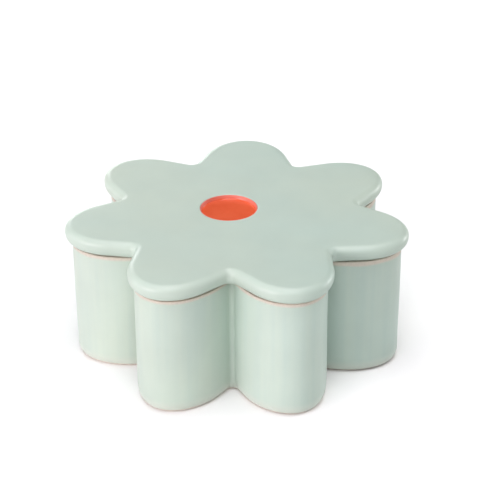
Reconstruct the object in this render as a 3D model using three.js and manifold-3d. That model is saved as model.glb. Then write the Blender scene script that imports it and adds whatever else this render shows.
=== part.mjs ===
// Lidded flower palette: a seven-petal ceramic dish with paint wells, and a
// seven-petal lid with a round orange glaze dot let into its top.
// Millimetres, +Z up. The origin is on the axis of the flower, on the flat
// underside of the foot, and one petal points along +Y.
import * as THREE from 'three';
import { mergeVertices } from 'three/addons/utils/BufferGeometryUtils.js';
import Module from 'manifold-3d';

const wasm = await Module();
wasm.setup();

// ---------------------------------------------------------------- dimensions
const PETALS = 7;
const PETAL_PITCH = (2 * Math.PI) / PETALS;
const FIRST_PETAL = Math.PI / 2;          // direction of petal 0, along +Y

// plan of a petal: an elliptical tip, straight sides, and a round in the notch
const LID_PLAN = { tip: 71.3, half: 18.95, len: 23.25, turn: 1.1723, notch: 2.5 };
const DISH_PLAN = { tip: 68.5, half: 18.2, len: 25.4, turn: 1.467, notch: 1.5 };

const DISH_H = 51.35;                     // foot to rim
const DISH_DRAFT = 0.0098;                // the foot is this share smaller than the rim
const FOOT_ROUND = 3.2;
const WALL = 3.8;
const RECESS_D = 5.0;                     // the ribs between the wells stop this far below the rim
const WELL_FLOOR = 6.0;                   // clay under each well
const WELL_ROUND = 3.0;                   // round at the bottom of a well
const WELL = { out: 62.9, wide: 43.6, half: 12.6, inn: 24.6, c1: 32.0, c2: 10.6 };
const CENTRE_WELL_R = 19.5;

const SEAT_GAP = 0.3;                     // under the lid, all round the rim
const LID_T = 7.76;
const LID_LOW = { out: 5.26, up: 4.85 };  // round under the lid's edge
const LID_TOP = { out: 3.19, up: 2.91 };  // round over the lid's edge
const LIP_CLEAR = 1.0;                    // between the lip and the inside of the rim
const LIP_W = 3.4;
const LIP_D = 3.5;                        // how far the lip drops inside the rim

const DOT_R = 11.85;
const DOT_AT = [-4.06, 3.18];               // the dot is set by hand, a little off the axis
const DOT_RECESS = 2.4;
const DOT_GAP = 0.3;
const DOT_RIM = 2.0;                      // height of the glaze where it climbs the recess wall
const DOT_POOL = 0.6;                     // thickness of the glaze in the middle

const LID_Z = DISH_H + SEAT_GAP;
const TOP_Z = LID_Z + LID_T;

// ------------------------------------------------------------------- outlines
// Half of one petal from its tip to the notch, pushed in by `inset`.
function halfPetal(plan, inset, nTip = 7, nNotch = 3) {
  const a = PETAL_PITCH / 2;
  const d = plan.tip - plan.len;
  const pts = [];
  let t, n;
  for (let i = 0; i <= nTip; i++) {
    const th = (plan.turn * i) / nTip;
    t = new THREE.Vector2(d + plan.len * Math.cos(th), plan.half * Math.sin(th));
    n = new THREE.Vector2(Math.cos(th) / plan.len, Math.sin(th) / plan.half).normalize();
    pts.push(t.clone().addScaledVector(n, -inset));
  }
  const ray = new THREE.Vector2(Math.cos(a), Math.sin(a));
  const q = (plan.notch + t.dot(n)) / ray.dot(n);
  const c = ray.clone().multiplyScalar(q);
  let t0 = Math.atan2(-n.y, -n.x);
  if (t0 < 0) t0 += 2 * Math.PI;
  const t1 = a + Math.PI;
  for (let i = 0; i <= nNotch; i++) {
    const th = t0 + ((t1 - t0) * i) / nNotch;
    const r = plan.notch + inset;
    pts.push(new THREE.Vector2(c.x + r * Math.cos(th), c.y + r * Math.sin(th)));
  }
  return pts;
}

function flower(plan, inset) {
  const half = halfPetal(plan, inset);
  const petal = [...half.slice(1).reverse().map((p) => new THREE.Vector2(p.x, -p.y)), ...half.slice(0, -1)];
  const pts = [];
  for (let k = 0; k < PETALS; k++) {
    const g = FIRST_PETAL + k * PETAL_PITCH;
    for (const p of petal) pts.push(p.clone().rotateAround(new THREE.Vector2(0, 0), g));
  }
  return pts;
}

function wellShape(k) {
  const w = WELL, s = 0.5523;
  const half = new THREE.Path();
  half.moveTo(w.out, 0);
  half.bezierCurveTo(w.out, s * w.half, w.wide + s * (w.out - w.wide), w.half, w.wide, w.half);
  half.bezierCurveTo(w.c1, w.half, w.inn, w.c2, w.inn, 0);
  const up = half.getPoints(7);
  const pts = [...up.slice(0, -1), ...up.slice(1).reverse().map((p) => new THREE.Vector2(p.x, -p.y))];
  const g = FIRST_PETAL + k * PETAL_PITCH;
  return new THREE.Shape(pts.map((p) => p.rotateAround(new THREE.Vector2(0, 0), g)));
}

// ------------------------------------------------------------------ solids
function solid(geometry) {
  const g = geometry.clone();
  g.deleteAttribute('normal');
  g.deleteAttribute('uv');
  const m = mergeVertices(g, 1e-4);
  return new wasm.Manifold(new wasm.Mesh({
    numProp: 3,
    vertProperties: new Float32Array(m.attributes.position.array),
    triVerts: new Uint32Array(m.index.array),
  }));
}

function geometryOf(manifold) {
  const m = manifold.getMesh();
  const g = new THREE.BufferGeometry();
  g.setAttribute('position', new THREE.BufferAttribute(new Float32Array(m.vertProperties), 3));
  g.setIndex(new THREE.BufferAttribute(new Uint32Array(m.triVerts), 1));
  g.computeVertexNormals();
  return g;
}

// An extrusion from z0 to z1 whose two ends are rounded by an ellipse
// `out` wide and `up` tall, inside the given outline.
function rounded(shape, z0, z1, out, up, segments) {
  const g = new THREE.ExtrudeGeometry(shape, {
    depth: z1 - z0 - 2 * up, steps: 1, curveSegments: 24,
    bevelEnabled: out > 0, bevelThickness: up, bevelSize: out, bevelOffset: -out, bevelSegments: segments,
  });
  g.translate(0, 0, z0 + up);
  return g;
}

function straight(shape, z0, z1) {
  const g = new THREE.ExtrudeGeometry(shape, { depth: z1 - z0, steps: 1, curveSegments: 24, bevelEnabled: false });
  g.translate(0, 0, z0);
  return g;
}

function slabBox(z0, z1) {
  const g = new THREE.BoxGeometry(200, 200, z1 - z0);
  g.translate(0, 0, (z0 + z1) / 2);
  return g;
}

function circle(r, x = 0, y = 0, n = 40) {
  const pts = [];
  for (let i = 0; i < n; i++) pts.push(new THREE.Vector2(x + r * Math.cos((2 * Math.PI * i) / n), y + r * Math.sin((2 * Math.PI * i) / n)));
  return new THREE.Shape(pts);
}

// --------------------------------------------------------------- the dish
const dishOuter = rounded(new THREE.Shape(flower(DISH_PLAN, 0)), 0, DISH_H + 10, FOOT_ROUND, FOOT_ROUND, 2);
{
  const p = dishOuter.attributes.position;      // draft: narrower at the foot
  for (let i = 0; i < p.count; i++) {
    const s = 1 - DISH_DRAFT * Math.max(0, 1 - p.getZ(i) / DISH_H);
    p.setXY(i, p.getX(i) * s, p.getY(i) * s);
  }
}
let dish = solid(dishOuter).intersect(solid(slabBox(-1, DISH_H)));
dish = dish.subtract(solid(straight(new THREE.Shape(flower(DISH_PLAN, WALL)), DISH_H - RECESS_D, DISH_H + 5)));
for (let k = 0; k < PETALS; k++) {
  dish = dish.subtract(solid(rounded(wellShape(k), WELL_FLOOR, DISH_H + 10, WELL_ROUND, WELL_ROUND, 2)));
}
dish = dish.subtract(solid(rounded(circle(CENTRE_WELL_R), WELL_FLOOR, DISH_H + 10, WELL_ROUND, WELL_ROUND, 2)));

// ---------------------------------------------------------------- the lid
const lidPlan = () => new THREE.Shape(flower(LID_PLAN, 0));
let lid = solid(rounded(lidPlan(), LID_Z, TOP_Z + 20, LID_LOW.out, LID_LOW.up, 3))
  .intersect(solid(rounded(lidPlan(), LID_Z - 20, TOP_Z, LID_TOP.out, LID_TOP.up, 3)));
const lip = new THREE.Shape(flower(DISH_PLAN, WALL + LIP_CLEAR));
lip.holes.push(new THREE.Path(flower(DISH_PLAN, WALL + LIP_CLEAR + LIP_W).reverse()));
lid = lid.add(solid(straight(lip, LID_Z - LIP_D, LID_Z + 2)));
lid = lid.subtract(solid(straight(circle(DOT_R + DOT_GAP, ...DOT_AT, 40), TOP_Z - DOT_RECESS, TOP_Z + 5)));

// ---------------------------------------------------------- the centre dot
// a shallow dish of glaze: a flat pool that climbs the recess wall at its edge
const dot = new THREE.LatheGeometry([
  new THREE.Vector2(0, 0), new THREE.Vector2(DOT_R - 0.3, 0), new THREE.Vector2(DOT_R, 0.3),
  new THREE.Vector2(DOT_R, DOT_RIM), new THREE.Vector2(DOT_R - 0.6, DOT_RIM - 0.15),
  new THREE.Vector2(DOT_R - 1.3, DOT_POOL + 0.4), new THREE.Vector2(DOT_R - 2.4, DOT_POOL), new THREE.Vector2(0, DOT_POOL),
], 40);
dot.rotateX(Math.PI / 2);

// ------------------------------------------------------------- the assembly
function mesh(name, geometry, color, roughness) {
  const m = new THREE.Mesh(geometry, new THREE.MeshStandardMaterial({ color, roughness, metalness: 0 }));
  m.name = name;
  return m;
}

const palette = new THREE.Group();
palette.add(mesh('base_dish', geometryOf(dish), 0xc5d9cc, 0.42));

const lidGroup = new THREE.Group();
lidGroup.add(mesh('lid', geometryOf(lid), 0xc3d6ca, 0.42));
const dotMesh = mesh('centre_dot', geometryOf(solid(dot)), 0xe26a42, 0.15);
dotMesh.position.set(DOT_AT[0], DOT_AT[1], TOP_Z - DOT_RECESS + DOT_GAP);
lidGroup.add(dotMesh);
palette.add(lidGroup);

export default palette;
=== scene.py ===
"""Lidded flower palette: fine meshes, glazes and bare clay, floor, light and camera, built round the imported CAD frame."""

import math

import bpy
import numpy as np
from mathutils import Matrix, Vector, noise
from mathutils.geometry import delaunay_2d_cdt


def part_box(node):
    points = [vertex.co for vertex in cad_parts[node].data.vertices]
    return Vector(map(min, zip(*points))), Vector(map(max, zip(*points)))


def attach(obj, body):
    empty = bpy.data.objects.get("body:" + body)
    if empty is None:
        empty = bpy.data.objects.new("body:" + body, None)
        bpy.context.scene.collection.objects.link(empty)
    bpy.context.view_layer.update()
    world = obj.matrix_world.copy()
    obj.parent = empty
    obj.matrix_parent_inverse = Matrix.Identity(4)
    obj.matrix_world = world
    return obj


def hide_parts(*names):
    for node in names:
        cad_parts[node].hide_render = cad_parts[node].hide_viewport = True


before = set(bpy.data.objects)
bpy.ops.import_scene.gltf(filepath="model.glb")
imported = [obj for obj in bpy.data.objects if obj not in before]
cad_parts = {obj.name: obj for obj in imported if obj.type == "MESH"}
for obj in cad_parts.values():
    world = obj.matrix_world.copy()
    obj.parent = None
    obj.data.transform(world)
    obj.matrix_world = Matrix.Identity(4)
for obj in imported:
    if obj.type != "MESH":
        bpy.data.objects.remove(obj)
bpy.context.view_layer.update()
MM = 0.001

# ------------------------------------------------------------------ dimensions, in millimetres, as in the CAD
PETALS = 7
PITCH = 2 * math.pi / PETALS
FIRST = math.pi / 2
LID_PLAN = dict(tip=71.3, half=18.95, len=23.25, turn=1.1723, notch=2.5)
DISH_PLAN = dict(tip=68.5, half=18.2, len=25.4, turn=1.467, notch=1.5)

DISH_LO, DISH_HI = (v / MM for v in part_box("base_dish"))
LID_LO, LID_HI = (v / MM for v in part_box("lid"))
DOT_LO, DOT_HI = (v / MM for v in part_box("centre_dot"))
DISH_H = DISH_HI.z                      # rim
TOP_Z = LID_HI.z                        # lid top
LIP_Z = LID_LO.z                        # underside of the lid's lip
LID_Z = DISH_H + 0.3                    # underside of the lid
DOT_AT = ((DOT_LO.x + DOT_HI.x) / 2, (DOT_LO.y + DOT_HI.y) / 2 + 0.35)   # set a hair further up
DOT_R = (DOT_HI.x - DOT_LO.x) / 2

DRAFT = 0.0098
FOOT_ROUND = (3.2, 5.2)                  # the wall tucks in this far over this height
RIM_ROUND = 0.45
RIM_UP = 0.18                           # the rim stands this close under the lid's seat gap
WALL = 3.8
SEAM_RISE = 0.38
SEAM_EAST = 0.6                          # and by this share more on the petal at +X
RECESS_D = 5.0
RIB_Z = DISH_H - RECESS_D
WELL = dict(out=62.9, wide=43.6, half=12.6, inn=24.6, c1=32.0, c2=10.6)
WELL_FLOOR = 6.0
WELL_ROUND = 4.5
WELL_LIP = 1.0
CENTRE_WELL_R = 19.5
LID_LOW = (5.26, 4.85)
LOW_POWER = 2.4                          # 2 is an ellipse; the lower round is a little fuller
LID_TOP = (3.19, 2.91)
LIP_IN0 = WALL + 1.0
LIP_W = 3.4
DOT_RECESS = 2.4

NT, NS, NN = 34, 8, 9                   # points round half a petal: tip, side, notch
K = PETALS * 2 * (NT + NS + NN)


# ------------------------------------------------------------------ outlines
def half_petal(plan, inset):
    a = PITCH / 2
    d = plan["tip"] - plan["len"]
    th = np.linspace(0, plan["turn"], NT + 1)
    p1 = np.stack([d + plan["len"] * np.cos(th), plan["half"] * np.sin(th)], 1)
    n1 = np.stack([np.cos(th) / plan["len"], np.sin(th) / plan["half"]], 1)
    n1 /= np.linalg.norm(n1, axis=1)[:, None]
    t, n = p1[-1], n1[-1]
    ray = np.array([math.cos(a), math.sin(a)])
    c = ray * ((plan["notch"] + t @ n) / (ray @ n))
    t0 = math.atan2(-n[1], -n[0]) % (2 * math.pi)
    tt = np.linspace(t0, a + math.pi, NN + 1)
    dirs = np.stack([np.cos(tt), np.sin(tt)], 1)
    p3 = c + plan["notch"] * dirs
    s = np.linspace(0, 1, NS + 1)[1:-1, None]
    p2 = t + s * (p3[0] - t)
    p = np.concatenate([p1, p2, p3])
    nn = np.concatenate([n1, np.repeat(n[None], NS - 1, 0), -dirs])
    return p - inset * nn


def flower(plan, inset):
    h = half_petal(plan, inset)
    petal = np.concatenate([(h[1:] * [1, -1])[::-1], h[:-1]])
    out = []
    for k in range(PETALS):
        g = FIRST + k * PITCH
        c, s = math.cos(g), math.sin(g)
        out.append(petal @ np.array([[c, s], [-s, c]]))
    return np.concatenate(out)


def circle(r, n, x=0.0, y=0.0, start=0.0):
    t = start + np.arange(n) * 2 * math.pi / n
    return np.stack([x + r * np.cos(t), y + r * np.sin(t)], 1)


def bezier(p0, p1, p2, p3, n):
    t = np.linspace(0, 1, n)[:, None]
    p0, p1, p2, p3 = (np.array(p, float) for p in (p0, p1, p2, p3))
    return (1 - t) ** 3 * p0 + 3 * (1 - t) ** 2 * t * p1 + 3 * (1 - t) * t * t * p2 + t ** 3 * p3


def resample(poly, n):
    q = np.concatenate([poly, poly[:1]])
    s = np.concatenate([[0], np.cumsum(np.linalg.norm(np.diff(q, axis=0), axis=1))])
    u = np.arange(n) * s[-1] / n
    return np.stack([np.interp(u, s, q[:, 0]), np.interp(u, s, q[:, 1])], 1)


def well_outline(k, n=132):
    w, s = WELL, 0.5523
    a = bezier((w["out"], 0), (w["out"], s * w["half"]), (w["wide"] + s * (w["out"] - w["wide"]), w["half"]), (w["wide"], w["half"]), 60)
    b = bezier((w["wide"], w["half"]), (w["c1"], w["half"]), (w["inn"], w["c2"]), (w["inn"], 0), 60)
    up = np.concatenate([a, b[1:]])
    p = resample(np.concatenate([up[:-1], (up[1:] * [1, -1])[::-1]]), n)
    g = FIRST + k * PITCH
    c, s = math.cos(g), math.sin(g)
    return p @ np.array([[c, s], [-s, c]])


def grow(poly, d):
    """The closed outline moved outwards by d along its smoothed normals."""
    t = np.roll(poly, -1, 0) - np.roll(poly, 1, 0)
    t /= np.linalg.norm(t, axis=1)[:, None]
    return poly + d * np.stack([t[:, 1], -t[:, 0]], 1)


# ------------------------------------------------------------------ mesh building
class Build:
    def __init__(self):
        self.v, self.f, self.w = [], [], []

    def ring(self, xy, z, coat=0.0):
        i = len(self.v)
        z = np.broadcast_to(z, (len(xy),))
        for (x, y), zz in zip(xy, z):
            self.v.append((float(x), float(y), float(zz)))
            self.w.append(coat)
        return list(range(i, i + len(xy)))

    def point(self, x, y, z, coat=0.0):
        self.v.append((x, y, z))
        self.w.append(coat)
        return len(self.v) - 1

    def skin(self, a, b):
        n = len(a)
        for i in range(n):
            j = (i + 1) % n
            self.f.append((a[i], a[j], b[j], b[i]))

    def fan(self, ring, centre):
        n = len(ring)
        for i in range(n):
            self.f.append((ring[i], ring[(i + 1) % n], centre))

    def loft(self, rings):
        for a, b in zip(rings, rings[1:]):
            self.skin(a, b)


def wobble(v, amp, scale, seed):
    """Hand-made unevenness: a slow smooth offset of each vertex, in millimetres."""
    out = np.empty_like(v)
    o = Vector((seed * 17.3, seed * 5.1, seed * 9.7))
    for i, p in enumerate(v):
        n = noise.noise_vector(Vector(p) / scale + o)
        out[i] = (p[0] + amp * n.x, p[1] + amp * n.y, p[2] + amp * 0.6 * n.z)
    return out


def seam(v, z0, z1):
    """The hand-made seam stands a little higher on one side; this fades out by z0 below it and z1 above it."""
    k = np.clip((v[:, 0] - 12.0) / 42.0, 0, 1)
    k = k * k * (3 - 2 * k) + SEAM_EAST * np.clip((v[:, 0] - 42.0) / 22.0, 0, 1)
    f = np.clip(np.where(v[:, 2] < LID_Z, (v[:, 2] - z0) / (LID_Z - z0), (z1 - v[:, 2]) / (z1 - LID_Z)), 0, 1)
    out = v.copy()
    out[:, 2] += SEAM_RISE * k * f
    return out


def make_object(name, build, wob=None, hold=None, span=None, flat=None):
    v = np.array(build.v, float)
    if flat:                                             # a flank that the maker's hand left a little flatter
        x, y, r, dx = flat
        v[:, 0] += dx * np.exp(-((v[:, 0] - x) ** 2 + (v[:, 1] - y) ** 2) / (2 * r * r))
    if span:
        v = seam(v, *span)
    if wob:
        moved = wobble(v, *wob)
        if hold is not None:
            k = hold(v)[:, None]
            moved = v + (moved - v) * k
        v = moved
    over = v[:, 2].max() - TOP_Z                         # the unevenness never stands outside the lid's true size
    for i in (0, 1):
        v[:, i] /= max(1.0, v[:, i].max() / LID_HI[i], v[:, i].min() / LID_LO[i])
    if over > 0:
        v[:, 2] -= over * np.clip((v[:, 2] - LID_Z) / (TOP_Z - LID_Z), 0, 1)
    mesh = bpy.data.meshes.new(name)
    mesh.from_pydata((v * MM).tolist(), [], build.f)
    mesh.update()
    mesh.validate()
    coat = mesh.attributes.new("coat", "FLOAT", "POINT")
    coat.data.foreach_set("value", build.w)
    mesh.shade_smooth()
    o = bpy.data.objects.new(name, mesh)
    bpy.context.scene.collection.objects.link(o)
    return o


def arc(n, first=True):
    """Angles of a quarter turn in n steps."""
    return np.linspace(0, math.pi / 2, n + 1)[0 if first else 1:]


# ------------------------------------------------------------------ the lid
def build_lid():
    b = Build()
    rings = []
    inner = flower(DISH_PLAN, LIP_IN0 + LIP_W)           # inside of the lip
    outer = flower(DISH_PLAN, LIP_IN0)                   # outside of the lip
    # mixing surface: very slightly dished, from the pole outwards
    centre = b.point(0, 0, LID_Z + 0.25, 1.0)
    fil = 1.5                                            # round between lip and mixing surface
    start = flower(DISH_PLAN, LIP_IN0 + LIP_W + fil)
    first = None
    for s in (0.04, 0.1, 0.18, 0.28, 0.4, 0.52, 0.64, 0.76, 0.86, 0.94, 1.0):
        circ = start / np.linalg.norm(start, axis=1)[:, None] * 38.0
        m = s ** 1.6
        xy = (circ * (1 - m) + start * m) * s
        rings.append(b.ring(xy, LID_Z + 0.25 * (1 - s * s), 1.0))
    for t in arc(6, False):
        rings.append(b.ring(flower(DISH_PLAN, LIP_IN0 + LIP_W + fil * (1 - math.sin(t))), LID_Z - fil * (1 - math.cos(t)), 1.0 if t < 1.1 else 0.0))
    r = 1.1                                              # rounds of the lip's edge
    for z in np.linspace(LID_Z - fil, LIP_Z + r, 3)[1:]:
        rings.append(b.ring(inner, z))
    for t in arc(6, False):
        rings.append(b.ring(flower(DISH_PLAN, LIP_IN0 + LIP_W - r * (1 - math.cos(t))), LIP_Z + r * (1 - math.sin(t))))
    for t in arc(6):
        rings.append(b.ring(flower(DISH_PLAN, LIP_IN0 + r * (1 - math.sin(t))), LIP_Z + r * (1 - math.cos(t))))
    root = 0.5
    rings.append(b.ring(outer, LID_Z - root))
    for t in arc(4, False):
        rings.append(b.ring(flower(DISH_PLAN, LIP_IN0 - root * (1 - math.cos(t))), LID_Z - root * (1 - math.sin(t))))
    a0 = flower(DISH_PLAN, LIP_IN0 - root)
    a1 = flower(LID_PLAN, LID_LOW[0])
    for s in (0.35, 0.7):
        rings.append(b.ring(a0 * (1 - s) + a1 * s, LID_Z))
    for t in arc(18):
        u, w = math.sin(t) ** (2 / LOW_POWER), math.cos(t) ** (2 / LOW_POWER)
        rings.append(b.ring(flower(LID_PLAN, LID_LOW[0] * (1 - u)), LID_Z + LID_LOW[1] * (1 - w)))
    z1 = TOP_Z - LID_TOP[1]
    for t in arc(12, False):
        rings.append(b.ring(flower(LID_PLAN, LID_TOP[0] * (1 - math.cos(t))), z1 + LID_TOP[1] * math.sin(t)))
    # the top, from the flower in to the round recess
    edge = flower(LID_PLAN, LID_TOP[0])
    ang = np.unwrap(np.arctan2(edge[:, 1] - DOT_AT[1], edge[:, 0] - DOT_AT[0]))
    lip = 0.35
    rec_r = DOT_R + 0.05

    def round_at(r_):
        return np.stack([DOT_AT[0] + r_ * np.cos(ang), DOT_AT[1] + r_ * np.sin(ang)], 1)
    hole = round_at(rec_r + lip)
    for s in np.linspace(0, 1, 27)[1:]:
        m = s ** 0.85
        rings.append(b.ring(edge * (1 - m) + hole * m, TOP_Z))
    for t in arc(6, False):
        rings.append(b.ring(round_at(rec_r + lip * (1 - math.sin(t))), TOP_Z - lip * (1 - math.cos(t))))
    floor_z = TOP_Z - DOT_RECESS
    rings.append(b.ring(round_at(rec_r), floor_z + 0.2))
    rings.append(b.ring(round_at(rec_r - 0.2), floor_z))
    rings.append(b.ring(round_at(rec_r * 0.5), floor_z))
    b.loft(rings)
    b.fan(rings[0][::-1], centre)
    c2 = b.point(DOT_AT[0], DOT_AT[1], floor_z)
    b.fan(rings[-1], c2)
    dot = np.array(DOT_AT)

    def hold(v):                                        # the recess keeps its circle
        d = np.linalg.norm(v[:, :2] - dot, axis=1)
        return np.clip((d - DOT_R - 1) / 14.0, 0, 1)
    return make_object("lid_glazed", b, wob=(0.16, 26.0, 2), hold=hold, span=(LIP_Z - 30, TOP_Z - 2.5))


# ------------------------------------------------------------------ the orange dot
def build_dot():
    b = Build()
    n = 224
    rings = []
    z0 = TOP_Z - DOT_RECESS + 0.08
    top = TOP_Z - 0.22                                   # where the glaze ends on the recess wall
    pool = TOP_Z - 1.95
    c0 = b.point(DOT_AT[0], DOT_AT[1], z0)
    rings.append(b.ring(circle(DOT_R * 0.5, n, *DOT_AT), z0))
    rings.append(b.ring(circle(DOT_R - 0.25, n, *DOT_AT), z0))
    rings.append(b.ring(circle(DOT_R - 0.02, n, *DOT_AT), z0 + 0.25))
    rings.append(b.ring(circle(DOT_R, n, *DOT_AT), (z0 + top) / 2))
    for t in arc(6):
        rings.append(b.ring(circle(DOT_R - 0.22 * (1 - math.cos(t)), n, *DOT_AT), top - 0.22 * (1 - math.sin(t))))
    r0 = DOT_R - 0.22
    wide = 0.75                                          # the glaze's climb, as seen from above
    for s in np.linspace(0, 1, 19)[1:]:
        r_ = r0 - wide * s
        z = pool + (top - pool) * (1 - s) ** 2.2
        rings.append(b.ring(circle(r_, n, *DOT_AT), z))
    for s in (0.85, 0.65, 0.45, 0.25, 0.1):
        r_ = (r0 - wide) * s
        rings.append(b.ring(circle(r_, n, *DOT_AT), pool + 0.04 * (1 - s)))
    b.loft(rings)
    b.fan(rings[0][::-1], c0)
    c1 = b.point(DOT_AT[0], DOT_AT[1], pool + 0.04)
    b.fan(rings[-1], c1)
    return make_object("centre_dot_glaze", b)


# ------------------------------------------------------------------ the dish
def build_dish():
    b = Build()
    rings = []

    def shrink(xy, z):
        return xy * (1 - DRAFT * max(0.0, 1 - z / DISH_H))
    tuck, rise = FOOT_ROUND
    base = flower(DISH_PLAN, tuck)
    centre = b.point(0, 0, 0.0)
    for s in (0.1, 0.3, 0.5, 0.7, 0.85, 1.0):
        rings.append(b.ring(shrink(base, 0) * s, 0.0))
    for t in arc(16, False):
        z = rise * (1 - math.cos(t))
        rings.append(b.ring(shrink(flower(DISH_PLAN, tuck * (1 - math.sin(t))), z), z))
    wall = flower(DISH_PLAN, 0)
    top = DISH_H + RIM_UP
    for z in np.linspace(rise, top - RIM_ROUND, 26)[1:]:
        rings.append(b.ring(shrink(wall, z), z))
    for t in arc(8, False):
        z = top - RIM_ROUND * (1 - math.sin(t))
        rings.append(b.ring(flower(DISH_PLAN, RIM_ROUND * (1 - math.cos(t))), z))
    r = 0.9
    for t in arc(8):
        rings.append(b.ring(flower(DISH_PLAN, WALL - r * (1 - math.sin(t))), top - r * (1 - math.cos(t))))
    f = 0.4                                              # round between the rim's wall and the ledge
    rings.append(b.ring(flower(DISH_PLAN, WALL), (top - r + RIB_Z + f) / 2))
    for t in arc(5):
        rings.append(b.ring(flower(DISH_PLAN, WALL + f * (1 - math.cos(t))), RIB_Z + f * (1 - math.sin(t))))
    b.loft(rings)
    b.fan(rings[0][::-1], centre)
    edge = rings[-1]

    loops = []
    specs = [(well_outline(k), True) for k in range(PETALS)] + [(circle(CENTRE_WELL_R, 168), False)]
    for outline, petal in specs:
        wr = []
        for t in arc(7):
            wr.append(b.ring(grow(outline, WELL_LIP * (1 - math.sin(t))), RIB_Z - WELL_LIP * (1 - math.cos(t))))
        for z in np.linspace(RIB_Z - WELL_LIP, WELL_FLOOR + WELL_ROUND, 9)[1:]:
            wr.append(b.ring(outline, z))
        for t in arc(9, False):
            wr.append(b.ring(grow(outline, -WELL_ROUND * (1 - math.cos(t))), WELL_FLOOR + WELL_ROUND * (1 - math.sin(t))))
        last = grow(outline, -WELL_ROUND)
        m = last.mean(0)
        for s in (0.75, 0.5, 0.25):
            wr.append(b.ring(m + (last - m) * s, WELL_FLOOR - 0.35 * (1 - s)))
        c = b.point(float(m[0]), float(m[1]), WELL_FLOOR - 0.35)
        b.loft(wr)
        b.fan(wr[-1], c)
        loops.append(wr[0])

    # flat tops of the ribs: the ledge's outline with the wells' mouths as holes
    ids = list(edge) + [i for l in loops for i in l]
    pts = [Vector(b.v[i][:2]) for i in ids]
    cons, at = [], 0
    for l in [edge] + loops:
        n = len(l)
        cons += [(at + i, at + (i + 1) % n) for i in range(n)]
        at += n
    out = delaunay_2d_cdt(pts, cons, [], 0, 1e-7)
    vo, fo = out[0], out[2]
    back = {}
    for i, orig in enumerate(out[3]):
        back[i] = ids[orig[0]]
    holes = [np.array([b.v[i][:2] for i in l]) for l in loops]
    rim = np.array([b.v[i][:2] for i in edge])

    def inside(p, poly):
        x, y = p
        x0, y0 = poly[:, 0], poly[:, 1]
        x1, y1 = np.roll(x0, -1), np.roll(y0, -1)
        c = ((y0 > y) != (y1 > y)) & (x < (x1 - x0) * (y - y0) / (y1 - y0 + 1e-30) + x0)
        return bool(c.sum() % 2)
    for tri in fo:
        p = np.mean([vo[i][:] for i in tri], axis=0)
        if not inside(p, rim) or any(inside(p, h) for h in holes):
            continue
        a, c, d = (np.array(vo[i][:]) for i in tri[:3])
        area = (c[0] - a[0]) * (d[1] - a[1]) - (d[0] - a[0]) * (c[1] - a[1])
        t = [back[i] for i in tri]
        b.f.append(tuple(t if area > 0 else t[::-1]))

    def hold(v):                                        # the foot stays flat on the table
        return np.clip((v[:, 2] - 0.2) / 6.0, 0, 1)
    return make_object("dish_glazed", b, wob=(0.16, 24.0, 1), hold=hold, span=(DISH_H - 25, TOP_Z), flat=(38.4, -45.0, 9.0, -0.32))


lid = build_lid()
dot = build_dot()
dish = build_dish()


# ------------------------------------------------------------------ materials
def new_material(name):
    m = bpy.data.materials.new(name)
    m.use_nodes = True
    m.node_tree.nodes.clear()
    return m, m.node_tree.nodes, m.node_tree.links


def node(nodes, kind, **values):
    n = nodes.new(kind)
    for k, v in values.items():
        if k.startswith("in_"):
            n.inputs[k[3:].replace("_", " ")].default_value = v
        else:
            setattr(n, k, v)
    return n


def math_node(nodes, links, op, a, b=None, clamp=False):
    n = nodes.new("ShaderNodeMath")
    n.operation = op
    n.use_clamp = clamp
    for i, x in enumerate((a, b)):
        if x is None:
            continue
        if isinstance(x, (int, float)):
            n.inputs[i].default_value = x
        else:
            links.new(x, n.inputs[i])
    return n.outputs[0]


def mix_color(nodes, links, fac, a, b):
    n = nodes.new("ShaderNodeMix")
    n.data_type = "RGBA"
    n.clamp_factor = True
    if isinstance(fac, (int, float)):
        n.inputs[0].default_value = fac
    else:
        links.new(fac, n.inputs[0])
    for i, x in ((6, a), (7, b)):
        if isinstance(x, (tuple, list)):
            n.inputs[i].default_value = (*x, 1.0)
        else:
            links.new(x, n.inputs[i])
    return n.outputs[2]


def mix_value(nodes, links, fac, a, b):
    n = nodes.new("ShaderNodeMix")
    n.data_type = "FLOAT"
    n.clamp_factor = True
    links.new(fac, n.inputs[0])
    for i, x in ((2, a), (3, b)):
        if isinstance(x, (int, float)):
            n.inputs[i].default_value = x
        else:
            links.new(x, n.inputs[i])
    return n.outputs[0]


def tex_noise(nodes, links, coord, scale, detail=2.0, rough=0.5, size=None):
    n = nodes.new("ShaderNodeTexNoise")
    n.noise_dimensions = "3D"
    n.inputs["Scale"].default_value = scale
    n.inputs["Detail"].default_value = detail
    n.inputs["Roughness"].default_value = rough
    if size is not None:
        m = nodes.new("ShaderNodeMapping")
        m.inputs["Scale"].default_value = size
        links.new(coord, m.inputs["Vector"])
        coord = m.outputs[0]
    links.new(coord, n.inputs["Vector"])
    return n


def ramp(nodes, links, fac, stops):
    n = nodes.new("ShaderNodeValToRGB")
    e = n.color_ramp.elements
    while len(e) > 1:
        e.remove(e[-1])
    for i, (p, c) in enumerate(stops):
        x = e[0] if i == 0 else e.new(p)
        x.position = p
        x.color = (*c, 1.0) if len(c) == 3 else c
    links.new(fac, n.inputs[0])
    return n.outputs[0]


GLAZE = (0.4684, 0.5551, 0.4858)
CLAY = (0.590, 0.530, 0.455)
# the foot's clay and the pale mix near the foot are partly painted light: cream clay and thin glaze, made paler to
# stand in for the floor's bounce light
FOOT_CLAY_AND_BOUNCE = (0.82, 0.72, 0.63)
THIN_GLAZE_AND_BOUNCE = (0.62, 0.62, 0.55)


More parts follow.
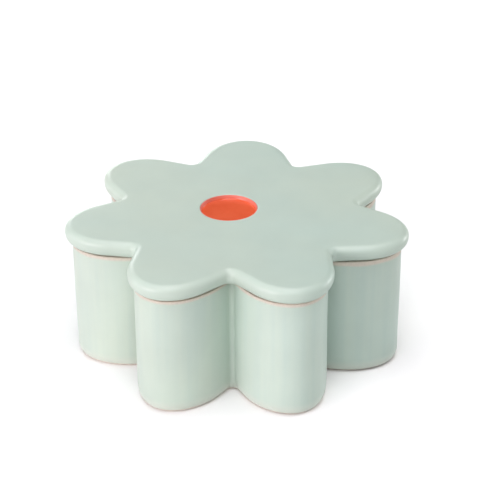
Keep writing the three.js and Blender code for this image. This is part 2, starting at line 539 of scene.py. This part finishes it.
def glaze_material(name, clay_masks, seed, painted_shade_stops=None):
    """Satin glaze over a cream clay body. clay_masks gives, from the height in millimetres, where the clay is bare."""
    m, ns, ls = new_material(name)
    out = ns.new("ShaderNodeOutputMaterial")
    p = ns.new("ShaderNodeBsdfPrincipled")
    p.inputs["IOR"].default_value = 1.5
    p.inputs["Specular IOR Level"].default_value = 0.5
    ls.new(p.outputs[0], out.inputs[0])
    tc = ns.new("ShaderNodeTexCoord").outputs["Object"]
    shift = ns.new("ShaderNodeMapping")
    shift.inputs["Location"].default_value = (seed * 0.37, seed * 0.11, seed * 0.23)
    ls.new(tc, shift.inputs["Vector"])
    co = shift.outputs[0]
    # colour: slow drift of tone and hue, where the glaze lies thicker or thinner
    slow = tex_noise(ns, ls, co, 14.0, 2.0, 0.5)
    mid = tex_noise(ns, ls, co, 60.0, 3.0, 0.55)
    streak = tex_noise(ns, ls, co, 300.0 if painted_shade_stops else 90.0, 2.0, 0.5, size=(1.0, 1.0, 0.05))
    g = GLAZE
    tone = ramp(ns, ls, slow.outputs[0], [
        (0.30, (g[0] * 0.975, g[1] * 1.000, g[2] * 1.015)),
        (0.50, g),
        (0.70, (g[0] * 1.025, g[1] * 1.004, g[2] * 0.985))])
    dark = ramp(ns, ls, mid.outputs[0], [(0.3, (0.975, 0.975, 0.975)), (0.7, (1.02, 1.02, 1.02))])
    mul = ns.new("ShaderNodeMix"); mul.data_type = "RGBA"; mul.blend_type = "MULTIPLY"
    mul.inputs[0].default_value = 1.0
    ls.new(tone, mul.inputs[6]); ls.new(dark, mul.inputs[7])
    amp = 1.0 if painted_shade_stops else 0.35
    st = ramp(ns, ls, streak.outputs[0], [(0.32, (1 - 0.032 * amp, 1 - 0.017 * amp, 1 - 0.009 * amp)), (0.68, (1 + 0.024 * amp, 1 + 0.015 * amp, 1 + 0.004 * amp))])
    mul2 = ns.new("ShaderNodeMix"); mul2.data_type = "RGBA"; mul2.blend_type = "MULTIPLY"
    mul2.inputs[0].default_value = 1.0
    ls.new(mul.outputs[2], mul2.inputs[6]); ls.new(st, mul2.inputs[7])
    color = mul2.outputs[2]
    if painted_shade_stops:                                             # painted light and shade: the dish's glaze is darker towards +X and lower down, with paler bands further left, where the light falls that way
        sx = ns.new("ShaderNodeSeparateXYZ"); ls.new(tc, sx.inputs[0])
        wave = math_node(ns, ls, "MULTIPLY", math_node(ns, ls, "SUBTRACT", slow.outputs[0], 0.5), 0.03)
        lower_shade = math_node(ns, ls, "MULTIPLY", math_node(ns, ls, "SUBTRACT", 0.025, sx.outputs["Z"]), 0.35)
        u = math_node(ns, ls, "ADD", math_node(ns, ls, "ADD", math_node(ns, ls, "ADD", sx.outputs["X"], 0.07), wave), lower_shade)
        u = math_node(ns, ls, "MULTIPLY", u, 1 / 0.14, True)
        painted_shade = ramp(ns, ls, u, painted_shade_stops)
        mul3 = ns.new("ShaderNodeMix"); mul3.data_type = "RGBA"; mul3.blend_type = "MULTIPLY"
        mul3.inputs[0].default_value = 1.0
        ls.new(color, mul3.inputs[6]); ls.new(painted_shade, mul3.inputs[7])
        color = mul3.outputs[2]
    # bare clay: height in mm, pushed about by noise so the glaze line isn't ruled
    sep = ns.new("ShaderNodeSeparateXYZ"); ls.new(tc, sep.inputs[0])
    h = math_node(ns, ls, "MULTIPLY", sep.outputs["Z"], 1000.0)
    edge_n = tex_noise(ns, ls, co, 55.0, 3.0, 0.6).outputs[0]
    jitter = math_node(ns, ls, "MULTIPLY", math_node(ns, ls, "SUBTRACT", edge_n, 0.5), 1.5)
    hj = math_node(ns, ls, "ADD", h, jitter)
    # the upper line hangs lower on the flanks and lowest at +X
    side = math_node(ns, ls, "MULTIPLY", math_node(ns, ls, "ADD", sep.outputs["Y"], 0.062), 9.0, True)
    east = math_node(ns, ls, "MULTIPLY", math_node(ns, ls, "SUBTRACT", sep.outputs["X"], 0.015), 16.0, True)
    hang = math_node(ns, ls, "ADD", math_node(ns, ls, "MULTIPLY", side, 0.45), math_node(ns, ls, "MULTIPLY", east, 0.35))
    high = math_node(ns, ls, "GREATER_THAN", h, 30.0)
    hj = math_node(ns, ls, "ADD", hj, math_node(ns, ls, "MULTIPLY", hang, high))
    mask = None
    for lo, hi, soft in clay_masks:
        up = math_node(ns, ls, "DIVIDE", math_node(ns, ls, "SUBTRACT", hj, lo), soft, True)
        dn = math_node(ns, ls, "DIVIDE", math_node(ns, ls, "SUBTRACT", hi, hj), soft, True)
        one = math_node(ns, ls, "MULTIPLY", up, dn)
        mask = one if mask is None else math_node(ns, ls, "MAXIMUM", mask, one)
    if not painted_shade_stops:                                         # the mixing side inside the lip is glazed
        coat = ns.new("ShaderNodeAttribute")
        coat.attribute_name = "coat"
        mask = math_node(ns, ls, "MULTIPLY", mask, math_node(ns, ls, "SUBTRACT", 1.0, coat.outputs["Fac"]))
        # painted shade: the lid's rounded side below the top is darker towards +X
        sx = ns.new("ShaderNodeSeparateXYZ"); ls.new(tc, sx.inputs[0])
        side = math_node(ns, ls, "MULTIPLY", math_node(ns, ls, "SUBTRACT", (TOP_Z - 0.05) * MM, sx.outputs["Z"]), 900.0, True)
        far = math_node(ns, ls, "MULTIPLY", sx.outputs["X"], 22.0, True)
        painted_side_shade = mix_color(ns, ls, math_node(ns, ls, "MULTIPLY", side, far), (1.0, 1.0, 1.0), (0.905, 0.920, 0.915))
        mul4 = ns.new("ShaderNodeMix"); mul4.data_type = "RGBA"; mul4.blend_type = "MULTIPLY"
        mul4.inputs[0].default_value = 1.0
        ls.new(color, mul4.inputs[6]); ls.new(painted_side_shade, mul4.inputs[7])
        color = mul4.outputs[2]
    grain = tex_noise(ns, ls, co, 900.0, 4.0, 0.7).outputs[0]
    clay = ramp(ns, ls, grain, [(0.3, tuple(c * 0.90 for c in CLAY)), (0.55, CLAY), (0.75, tuple(min(1, c * 1.08) for c in CLAY))])
    # towards the foot the glaze is paler: partly thin glaze over the cream body, partly painted light standing in for
    # light bounced up from the floor; the bare foot is cream clay, painted paler than the rim's clay for the same
    # bounce light
    low = math_node(ns, ls, "DIVIDE", math_node(ns, ls, "SUBTRACT", 6.0, hj), 5.0, True)
    color = mix_color(ns, ls, math_node(ns, ls, "MULTIPLY", low, 0.55), color, THIN_GLAZE_AND_BOUNCE)
    foot = math_node(ns, ls, "DIVIDE", math_node(ns, ls, "SUBTRACT", 8.0, h), 4.0, True)
    bare = FOOT_CLAY_AND_BOUNCE
    # painted shade: the bare foot's clay darkens towards +X, where the foot stands in shade
    if painted_shade_stops:
        bare = ramp(ns, ls, u, [(0.55, FOOT_CLAY_AND_BOUNCE), (0.80, tuple(c * 0.78 for c in FOOT_CLAY_AND_BOUNCE)), (0.94, tuple(c * 0.42 for c in FOOT_CLAY_AND_BOUNCE))])
    clay = mix_color(ns, ls, foot, clay, bare)
    color = mix_color(ns, ls, mask, color, clay)
    ls.new(color, p.inputs["Base Color"])
    r_noise = tex_noise(ns, ls, co, 120.0, 3.0, 0.6).outputs[0]
    rough = ramp(ns, ls, r_noise, [(0.3, (0.36, 0.36, 0.36)), (0.7, (0.43, 0.43, 0.43))])
    ls.new(mix_value(ns, ls, mask, rough, 0.85), p.inputs["Roughness"])
    # relief: the slow flow of the glaze, a fine orange peel, and the clay's tooth
    fine = tex_noise(ns, ls, co, 700.0, 2.0, 0.5).outputs[0]
    flow = tex_noise(ns, ls, co, 110.0, 2.0, 0.5).outputs[0]
    hg = math_node(ns, ls, "ADD", math_node(ns, ls, "MULTIPLY", flow, 0.00004), math_node(ns, ls, "MULTIPLY", fine, 0.000004))
    hc = math_node(ns, ls, "MULTIPLY", grain, 0.00006)
    hh = mix_value(ns, ls, mask, hg, hc)
    bump = ns.new("ShaderNodeBump")
    bump.inputs["Strength"].default_value = 1.0
    bump.inputs["Distance"].default_value = 1.0
    ls.new(hh, bump.inputs["Height"])
    ls.new(bump.outputs[0], p.inputs["Normal"])
    return m


def dot_material():
    m, ns, ls = new_material("orange_glaze")
    out = ns.new("ShaderNodeOutputMaterial")
    p = ns.new("ShaderNodeBsdfPrincipled")
    p.inputs["IOR"].default_value = 1.52
    p.inputs["Specular IOR Level"].default_value = 0.5
    ls.new(p.outputs[0], out.inputs[0])
    tc = ns.new("ShaderNodeTexCoord").outputs["Object"]
    n1 = tex_noise(ns, ls, tc, 130.0, 3.0, 0.55).outputs[0]
    color = ramp(ns, ls, n1, [(0.3, (0.695, 0.103, 0.040)), (0.5, (0.725, 0.114, 0.046)), (0.72, (0.755, 0.127, 0.053))])
    # on the recess wall the glaze is a paler, pinker orange: a painted reflection of the bright surroundings, standing
    # in for the light the far wall catches
    sep = ns.new("ShaderNodeSeparateXYZ"); ls.new(tc, sep.inputs[0])
    h = math_node(ns, ls, "MULTIPLY", sep.outputs["Z"], 1000.0)
    climb = math_node(ns, ls, "DIVIDE", math_node(ns, ls, "SUBTRACT", h, TOP_Z - 1.9), 0.9, True)
    color = mix_color(ns, ls, climb, color, (0.74, 0.190, 0.140))
    ls.new(color, p.inputs["Base Color"])
    r = tex_noise(ns, ls, tc, 260.0, 2.0, 0.5).outputs[0]
    pool_r = ramp(ns, ls, r, [(0.3, (0.15, 0.15, 0.15)), (0.7, (0.20, 0.20, 0.20))])
    ls.new(mix_value(ns, ls, climb, pool_r, 0.5), p.inputs["Roughness"])
    b = tex_noise(ns, ls, tc, 220.0, 2.0, 0.5).outputs[0]
    bump = ns.new("ShaderNodeBump")
    bump.inputs["Strength"].default_value = 1.0
    bump.inputs["Distance"].default_value = 1.0
    ls.new(math_node(ns, ls, "MULTIPLY", b, 0.00002), bump.inputs["Height"])
    ls.new(bump.outputs[0], p.inputs["Normal"])
    return m


# the dish's glaze gets painted light and shade by position across its petals
dish.data.materials.append(glaze_material("mint_glaze_dish", [(-5.0, 1.25, 0.5), (DISH_H - 1.45, DISH_H + 8, 0.95)], 1,
    painted_shade_stops=[(0.06, (1.02, 1.01, 1.015)), (0.17, (1.06, 1.045, 1.03)), (0.26, (0.985, 0.985, 0.985)), (0.35, (0.965, 0.975, 0.98)), (0.44, (1.02, 1.035, 1.02)), (0.54, (1.0, 1.0, 1.0)), (0.68, (0.970, 0.980, 0.980)), (0.82, (0.915, 0.932, 0.937)), (0.96, (0.85, 0.875, 0.878))]))
lid.data.materials.append(glaze_material("mint_glaze_lid", [(LIP_Z - 5, LID_Z + 0.62, 0.35)], 2))
dot.data.materials.append(dot_material())

for piece, body, cad, slot in ((dish, "dish", "base_dish", "mint_glaze"), (lid, "lid", "lid", "mint_glaze"), (dot, "lid", "centre_dot", "orange_glaze")):
    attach(piece, body)
    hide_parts(cad)

# ------------------------------------------------------------------ floor, light, camera
fm = bpy.data.meshes.new("floor")
R = 6.0
fm.from_pydata([(-R, -R, 0), (R, -R, 0), (R, R, 0), (-R, R, 0)], [], [(0, 1, 2, 3)])
floor = bpy.data.objects.new("floor", fm)
bpy.context.scene.collection.objects.link(floor)
floor.location.z = -0.00005
m, ns, ls = new_material("floor_paper")
out = ns.new("ShaderNodeOutputMaterial")
d = ns.new("ShaderNodeBsdfDiffuse")
d.inputs["Color"].default_value = (0.90, 0.90, 0.90, 1)
ls.new(d.outputs[0], out.inputs[0])
fm.materials.append(m)

SUNS = [                                   # azimuth from the camera's side (+ is right), elevation, angular size, strength, tint
    (-165.0, 8.0, 24.0, 0.646, (0.983, 0.991, 1.000)),
    (-105.0, 8.0, 24.0, 0.393, (0.925, 0.916, 1.000)),
    (-60.0, 8.0, 24.0, 1.056, (1.000, 0.861, 0.895)),
    (-45.0, 8.0, 24.0, 1.379, (1.000, 0.907, 0.931)),
    (120.0, 8.0, 24.0, 1.166, (1.000, 0.990, 0.996)),
    (-135.0, 45.0, 30.0, 0.359, (0.787, 1.000, 0.928)),
    (-30.0, 45.0, 30.0, 0.184, (0.671, 0.742, 1.000)),
    (0.0, 45.0, 30.0, 1.015, (0.972, 1.000, 0.955)),
    (90.0, 45.0, 30.0, 0.486, (1.000, 0.995, 0.971)),
    (0.0, 66.0, 36.0, 0.444, (1.000, 0.854, 0.993)),
    (45.0, 66.0, 36.0, 0.034, (0.408, 0.675, 1.000)),
    (0.0, 88.0, 40.0, 1.450, (1.000, 0.973, 0.982)),
]
world = bpy.data.worlds.new("studio")
bpy.context.scene.world = world
world.use_nodes = True
world.node_tree.nodes["Background"].inputs[0].default_value = (1, 1, 1, 1)
# white paper all round as a backdrop for low views; the softboxes alone light the palette
seen = world.node_tree.nodes.new("ShaderNodeLightPath")
world.node_tree.links.new(seen.outputs["Is Camera Ray"], world.node_tree.nodes["Background"].inputs[1])

CAM_POS = Vector((0.0494456, -0.74592108, 0.43864783))
FWD = Vector((-0.05774647, 0.88345275, -0.46494793))
RIGHT = Vector((0.99811023, 0.0608903, -0.00826682))
UP = Vector((-0.02100747, 0.46454666, 0.88529943))
cam_az = math.atan2(CAM_POS.x, -CAM_POS.y)

for i, (az, el, size, strength, tint) in enumerate(SUNS):
    ld = bpy.data.lights.new("soft_key_%d" % i, "SUN")
    ld.energy = strength
    ld.color = tint
    ld.angle = math.radians(size)
    lo = bpy.data.objects.new("soft_key_%d" % i, ld)
    a, e = cam_az + math.radians(az), math.radians(el)
    to_light = Vector((math.sin(a) * math.cos(e), -math.cos(a) * math.cos(e), math.sin(e)))
    lo.rotation_euler = to_light.to_track_quat("Z", "Y").to_euler()
    bpy.context.scene.collection.objects.link(lo)

cd = bpy.data.cameras.new("camera")
cd.lens = 153.0944
cd.sensor_width = 36.0
cd.clip_start = 0.01
cam = bpy.data.objects.new("camera", cd)
FWD.normalize(); RIGHT.normalize(); UP.normalize()
cam.matrix_world = Matrix((
    (RIGHT.x, UP.x, -FWD.x, CAM_POS.x),
    (RIGHT.y, UP.y, -FWD.y, CAM_POS.y),
    (RIGHT.z, UP.z, -FWD.z, CAM_POS.z),
    (0, 0, 0, 1)))
bpy.context.scene.collection.objects.link(cam)
bpy.context.scene.camera = cam
bpy.context.scene.view_settings.view_transform = "Standard"
bpy.context.scene.view_settings.look = "None"
